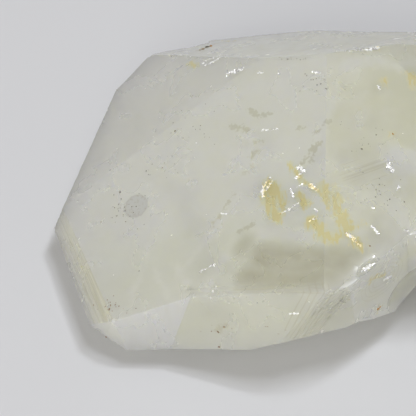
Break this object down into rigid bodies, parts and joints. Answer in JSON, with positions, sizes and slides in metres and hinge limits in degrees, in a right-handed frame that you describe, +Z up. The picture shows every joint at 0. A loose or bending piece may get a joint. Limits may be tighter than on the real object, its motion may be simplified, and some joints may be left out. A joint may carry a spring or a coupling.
{
  "type": "lithium quartz point",
  "caption": "Cloudy natural quartz crystal point lying on its flat underside, with broad tip faces, growth lines, shell-shaped breaks and a broken base.",
  "frame": {"origin": "on the surface that the stone lies on, under the middle of its length and width", "axes": "+X from the tip to the broken base, along the length; +Y to the back; +Z up"},
  "size_m": [0.0834, 0.0634, 0.0289],
  "materials": {
    "quartz": "natural crystal faces, glossy with a faint haze, cloudy inside"
  },
  "bodies": {
    "root": {"quartz_point": "quartz"}
  },
  "joints": []
}
